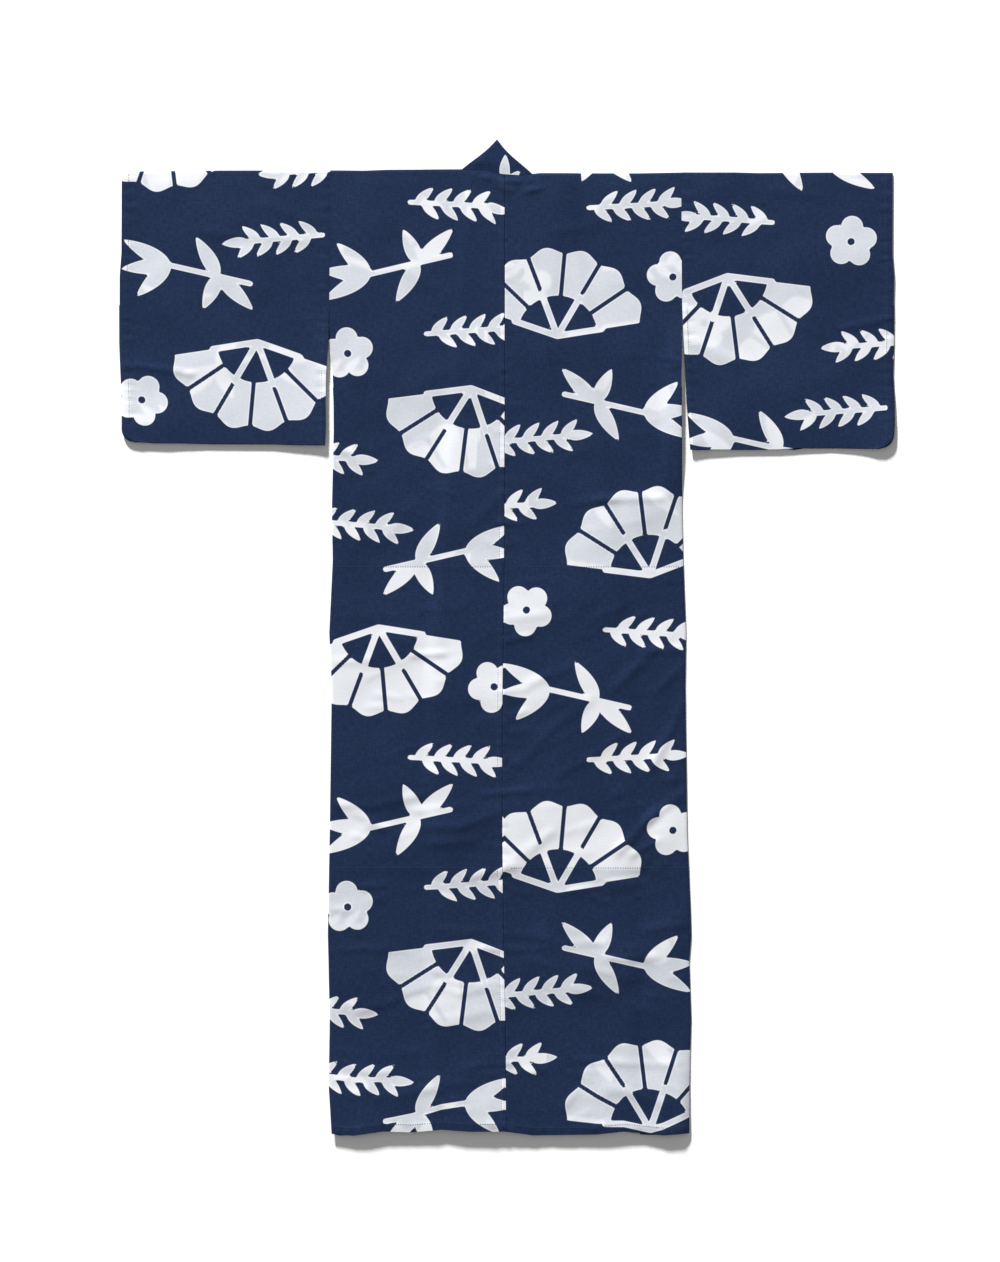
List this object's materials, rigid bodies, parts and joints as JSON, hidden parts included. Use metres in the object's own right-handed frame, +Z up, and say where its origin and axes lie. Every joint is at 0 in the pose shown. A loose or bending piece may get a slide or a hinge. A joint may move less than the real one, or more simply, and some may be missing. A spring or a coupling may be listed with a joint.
{
  "type": "cotton yukata robe laid flat",
  "caption": "Cotton yukata robe laid flat with its back up, fronts closed underneath, wide square sleeves out to the sides and a folded collar standing at the neck.",
  "frame": {"origin": "on the surface the robe rests on, at the middle of its outline", "axes": "+Z up, out of the robe's back; +Y towards the collar; +X towards the wearer's right sleeve"},
  "size_m": [1.3457, 1.723, 0.0093],
  "materials": {
    "printed_cotton": "matt plain weave",
    "plain_cotton": "matt plain weave"
  },
  "bodies": {
    "root": {"body_left": "printed_cotton", "body_right": "printed_cotton", "overlap_left": "printed_cotton", "overlap_right": "printed_cotton", "sleeve_left": "printed_cotton", "sleeve_right": "printed_cotton", "collar": "printed_cotton", "hip_lining": "plain_cotton"}
  },
  "joints": []
}
